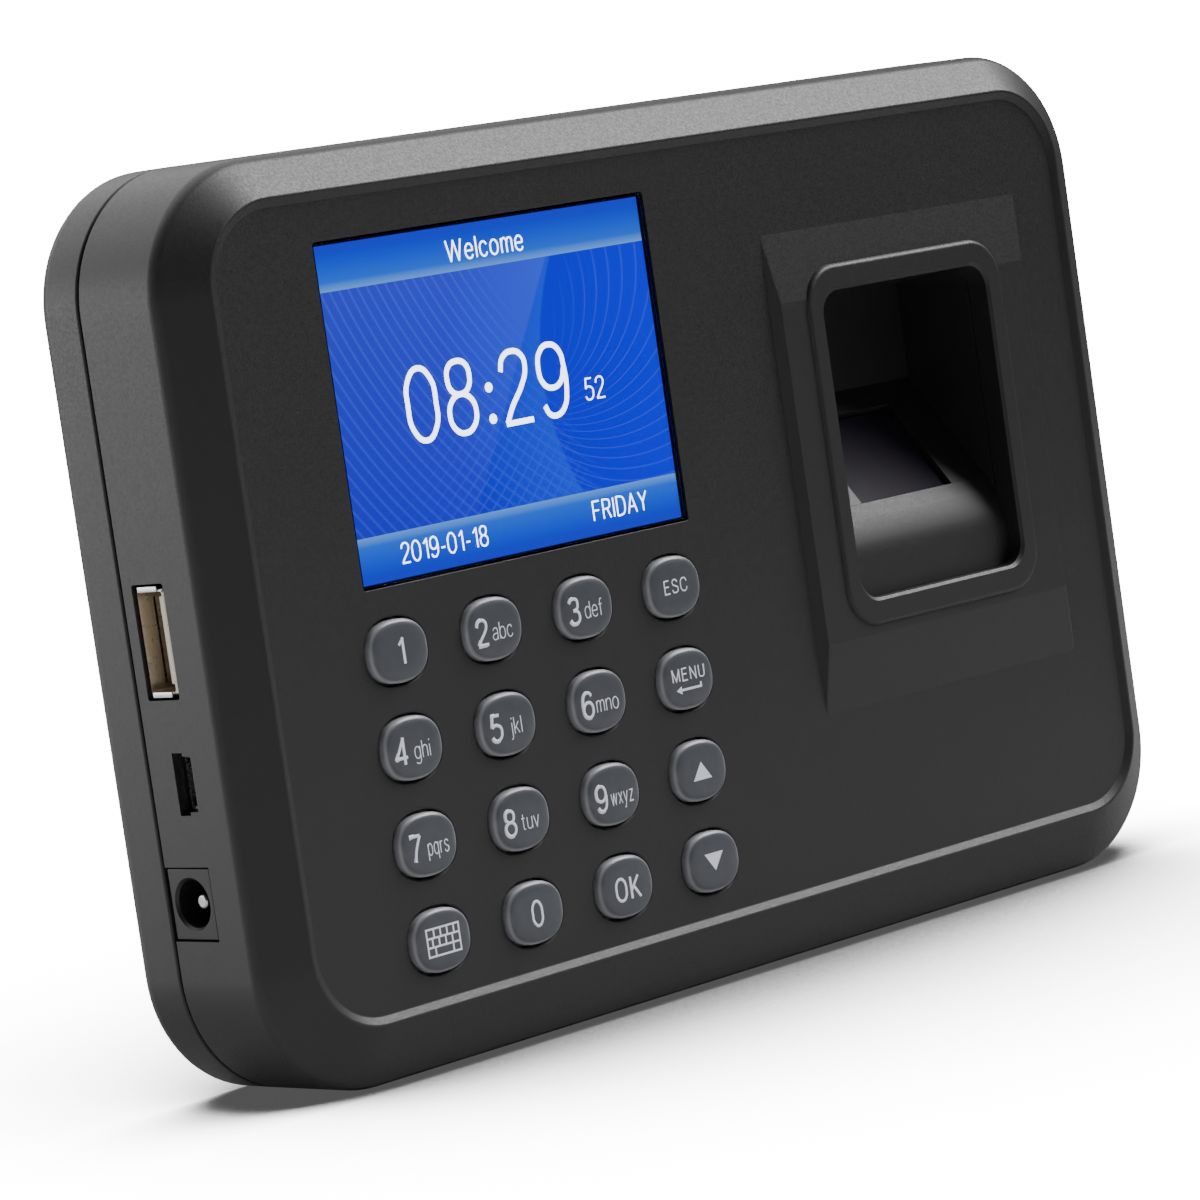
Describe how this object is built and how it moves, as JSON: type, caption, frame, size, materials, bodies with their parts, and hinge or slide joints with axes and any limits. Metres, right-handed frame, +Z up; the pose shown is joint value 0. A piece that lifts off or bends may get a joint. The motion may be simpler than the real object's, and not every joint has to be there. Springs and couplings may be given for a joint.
{
  "type": "fingerprint scanner terminal",
  "caption": "Slim wall or desk time clock with a colour display, an oval-key pad, a recessed ramped fingerprint window and left-side power and data sockets.",
  "frame": {"origin": "middle of the flat bottom of the case, half-way between the front of the finger ring and the back of the rear cover", "axes": "+X to the right as the user faces the terminal, +Y from the face into the case, +Z up"},
  "size_m": [0.1726, 0.028, 0.118],
  "materials": {
    "case_plastic": "fine spark-textured charcoal moulded plastic",
    "clear_window": "clear polished sheet",
    "lcd_glass": "lit colour display",
    "steel": "nickel-plated steel",
    "plated_gold": "pale plated sheet metal",
    "flex_amber": "polyimide film",
    "light_plastic": "moulded nylon",
    "silicone": "soft translucent silicone",
    "key_plastic": "smoked translucent, satin",
    "gloss_black": "satin black",
    "black_plastic": "black moulded",
    "sensor_glass": "coated optical window",
    "board_green": "solder-masked laminate"
  },
  "bodies": {
    "housing": {"front_shell": "case_plastic", "rear_cover": "case_plastic", "display_window": "clear_window", "lcd_panel": "lcd_glass", "lcd_frame": "steel", "lcd_flex": "flex_amber", "lcd_connector": "light_plastic", "keypad_mat": "silicone", "finger_guide": "gloss_black", "sensor_glass": "sensor_glass", "sensor_housing": "black_plastic", "sensor_board": "board_green", "sensor_screw_1": "steel", "sensor_screw_2": "steel", "main_board": "board_green", "processor_chip": "black_plastic", "memory_chip": "black_plastic", "coin_cell_holder": "black_plastic", "coin_cell": "steel", "usb_a_shell": "plated_gold", "usb_a_tongue": "light_plastic", "mini_usb_shell": "steel", "mini_usb_tongue": "black_plastic", "dc_jack_body": "black_plastic", "dc_jack_pin": "steel", "speaker": "black_plastic", "sensor_cable": "flex_amber", "case_screw_1": "steel", "board_screw_1": "steel", "case_screw_2": "steel", "board_screw_2": "steel", "case_screw_3": "steel", "board_screw_3": "steel", "case_screw_4": "steel", "board_screw_4": "steel"},
    "body_key_1": {"key_1": "key_plastic"},
    "body_key_2": {"key_2": "key_plastic"},
    "body_key_3": {"key_3": "key_plastic"},
    "body_key_esc": {"key_esc": "key_plastic"},
    "body_key_4": {"key_4": "key_plastic"},
    "body_key_5": {"key_5": "key_plastic"},
    "body_key_6": {"key_6": "key_plastic"},
    "body_key_menu": {"key_menu": "key_plastic"},
    "body_key_7": {"key_7": "key_plastic"},
    "body_key_8": {"key_8": "key_plastic"},
    "body_key_9": {"key_9": "key_plastic"},
    "body_key_up": {"key_up": "key_plastic"},
    "body_key_input": {"key_input": "key_plastic"},
    "body_key_0": {"key_0": "key_plastic"},
    "body_key_ok": {"key_ok": "key_plastic"},
    "body_key_down": {"key_down": "key_plastic"}
  },
  "joints": [
    {"name": "press_1", "type": "slide", "parent": "housing", "child": "body_key_1", "axis": [0, 1, 0], "range_m": [0, 0.001], "stiffness_N_per_m": 150},
    {"name": "press_2", "type": "slide", "parent": "housing", "child": "body_key_2", "axis": [0, 1, 0], "range_m": [0, 0.001], "stiffness_N_per_m": 150},
    {"name": "press_3", "type": "slide", "parent": "housing", "child": "body_key_3", "axis": [0, 1, 0], "range_m": [0, 0.001], "stiffness_N_per_m": 150},
    {"name": "press_esc", "type": "slide", "parent": "housing", "child": "body_key_esc", "axis": [0, 1, 0], "range_m": [0, 0.001], "stiffness_N_per_m": 150},
    {"name": "press_4", "type": "slide", "parent": "housing", "child": "body_key_4", "axis": [0, 1, 0], "range_m": [0, 0.001], "stiffness_N_per_m": 150},
    {"name": "press_5", "type": "slide", "parent": "housing", "child": "body_key_5", "axis": [0, 1, 0], "range_m": [0, 0.001], "stiffness_N_per_m": 150},
    {"name": "press_6", "type": "slide", "parent": "housing", "child": "body_key_6", "axis": [0, 1, 0], "range_m": [0, 0.001], "stiffness_N_per_m": 150},
    {"name": "press_menu", "type": "slide", "parent": "housing", "child": "body_key_menu", "axis": [0, 1, 0], "range_m": [0, 0.001], "stiffness_N_per_m": 150},
    {"name": "press_7", "type": "slide", "parent": "housing", "child": "body_key_7", "axis": [0, 1, 0], "range_m": [0, 0.001], "stiffness_N_per_m": 150},
    {"name": "press_8", "type": "slide", "parent": "housing", "child": "body_key_8", "axis": [0, 1, 0], "range_m": [0, 0.001], "stiffness_N_per_m": 150},
    {"name": "press_9", "type": "slide", "parent": "housing", "child": "body_key_9", "axis": [0, 1, 0], "range_m": [0, 0.001], "stiffness_N_per_m": 150},
    {"name": "press_up", "type": "slide", "parent": "housing", "child": "body_key_up", "axis": [0, 1, 0], "range_m": [0, 0.001], "stiffness_N_per_m": 150},
    {"name": "press_input", "type": "slide", "parent": "housing", "child": "body_key_input", "axis": [0, 1, 0], "range_m": [0, 0.001], "stiffness_N_per_m": 150},
    {"name": "press_0", "type": "slide", "parent": "housing", "child": "body_key_0", "axis": [0, 1, 0], "range_m": [0, 0.001], "stiffness_N_per_m": 150},
    {"name": "press_ok", "type": "slide", "parent": "housing", "child": "body_key_ok", "axis": [0, 1, 0], "range_m": [0, 0.001], "stiffness_N_per_m": 150},
    {"name": "press_down", "type": "slide", "parent": "housing", "child": "body_key_down", "axis": [0, 1, 0], "range_m": [0, 0.001], "stiffness_N_per_m": 150}
  ]
}
